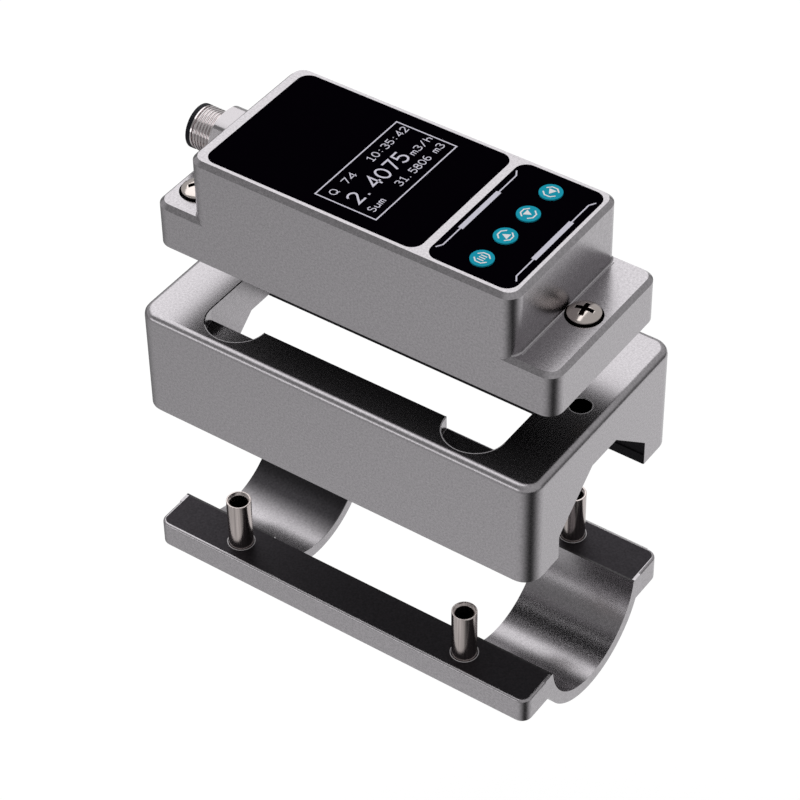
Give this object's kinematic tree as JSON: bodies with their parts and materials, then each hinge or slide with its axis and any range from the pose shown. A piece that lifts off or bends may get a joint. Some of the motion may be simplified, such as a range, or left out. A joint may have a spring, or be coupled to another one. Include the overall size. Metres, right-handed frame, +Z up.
{
  "type": "clamp-on ultrasonic flow meter",
  "caption": "Clamp-on ultrasonic flow meter shown apart: display head with keys and round connector, windowed bracket with V groove, and lower clamp with round saddles and sleeve nuts.",
  "frame": {"origin": "on the axis of the lower clamp's round seat, midway between its ends", "axes": "+X along the clamped line, away from the connector; +Z up, from the clamp to the head; -Y is the side the display is read from with the keys at the right"},
  "size_m": [0.1232, 0.0662, 0.1457],
  "materials": {
    "cast_alloy": "fine sprayed satin silver",
    "plated_nut": "bright nickel plating",
    "stud_steel": "plain steel",
    "screw_steel": "bright plated steel",
    "panel_black": "black film, glossy",
    "key_teal": "satin teal with a white symbol",
    "plate_dark": "dark paint",
    "seal_rubber": "matt black",
    "carrier_black": "moulded, matt",
    "wedge_plastic": "amber polymer",
    "crystal_white": "fired ceramic",
    "pad_grey": "soft grey gel",
    "board_green": "lacquered board",
    "part_black": "moulded, matt",
    "pillar_brass": "turned brass",
    "frame_grey": "moulded, matt",
    "display_glass": "dark display face",
    "connector_metal": "nickel plated brass",
    "pin_gold": "gold plated"
  },
  "bodies": {
    "clamp": {"lower_clamp": "cast_alloy", "sleeve_nuts": "plated_nut"},
    "bracket_body": {"bracket": "cast_alloy", "clamp_studs": "stud_steel"},
    "head": {"head_housing": "cast_alloy", "display_panel": "panel_black", "key_panel": "panel_black", "base_plate": "plate_dark", "base_gasket": "seal_rubber", "housing_screws": "screw_steel", "fixing_screw": "screw_steel", "transducer_carrier": "carrier_black", "carrier_screws": "screw_steel", "wedge_upstream": "wedge_plastic", "wedge_downstream": "wedge_plastic", "crystal_upstream": "crystal_white", "crystal_downstream": "crystal_white", "coupling_pads": "pad_grey", "power_board": "board_green", "main_board": "board_green", "board_header": "part_black", "lower_pillars": "pillar_brass", "upper_pillars": "pillar_brass", "board_screws": "screw_steel", "display_frame": "frame_grey", "display_module": "display_glass", "key_switches": "part_black", "connector_shell": "connector_metal", "connector_seal": "seal_rubber", "connector_locknut": "connector_metal", "connector_insert": "part_black", "connector_pins": "pin_gold"},
    "key_menu_body": {"key_menu": "key_teal"},
    "key_up_body": {"key_up": "key_teal"},
    "key_down_body": {"key_down": "key_teal"},
    "key_enter_body": {"key_enter": "key_teal"}
  },
  "joints": [
    {"name": "bracket_slide", "type": "slide", "parent": "clamp", "child": "bracket_body", "axis": [0, 0, 1], "range_m": [-0.04, 0]},
    {"name": "head_slide", "type": "slide", "parent": "bracket_body", "child": "head", "axis": [0, 0, 1], "range_m": [-0.0163, 0]},
    {"name": "key_menu_press", "type": "slide", "parent": "head", "child": "key_menu_body", "axis": [0, 0, -1], "range_m": [0, 0.0003], "stiffness_N_per_m": 1000, "springref_m": -0.0005},
    {"name": "key_up_press", "type": "slide", "parent": "head", "child": "key_up_body", "axis": [0, 0, -1], "range_m": [0, 0.0003], "stiffness_N_per_m": 1000, "springref_m": -0.0005},
    {"name": "key_down_press", "type": "slide", "parent": "head", "child": "key_down_body", "axis": [0, 0, -1], "range_m": [0, 0.0003], "stiffness_N_per_m": 1000, "springref_m": -0.0005},
    {"name": "key_enter_press", "type": "slide", "parent": "head", "child": "key_enter_body", "axis": [0, 0, -1], "range_m": [0, 0.0003], "stiffness_N_per_m": 1000, "springref_m": -0.0005}
  ]
}
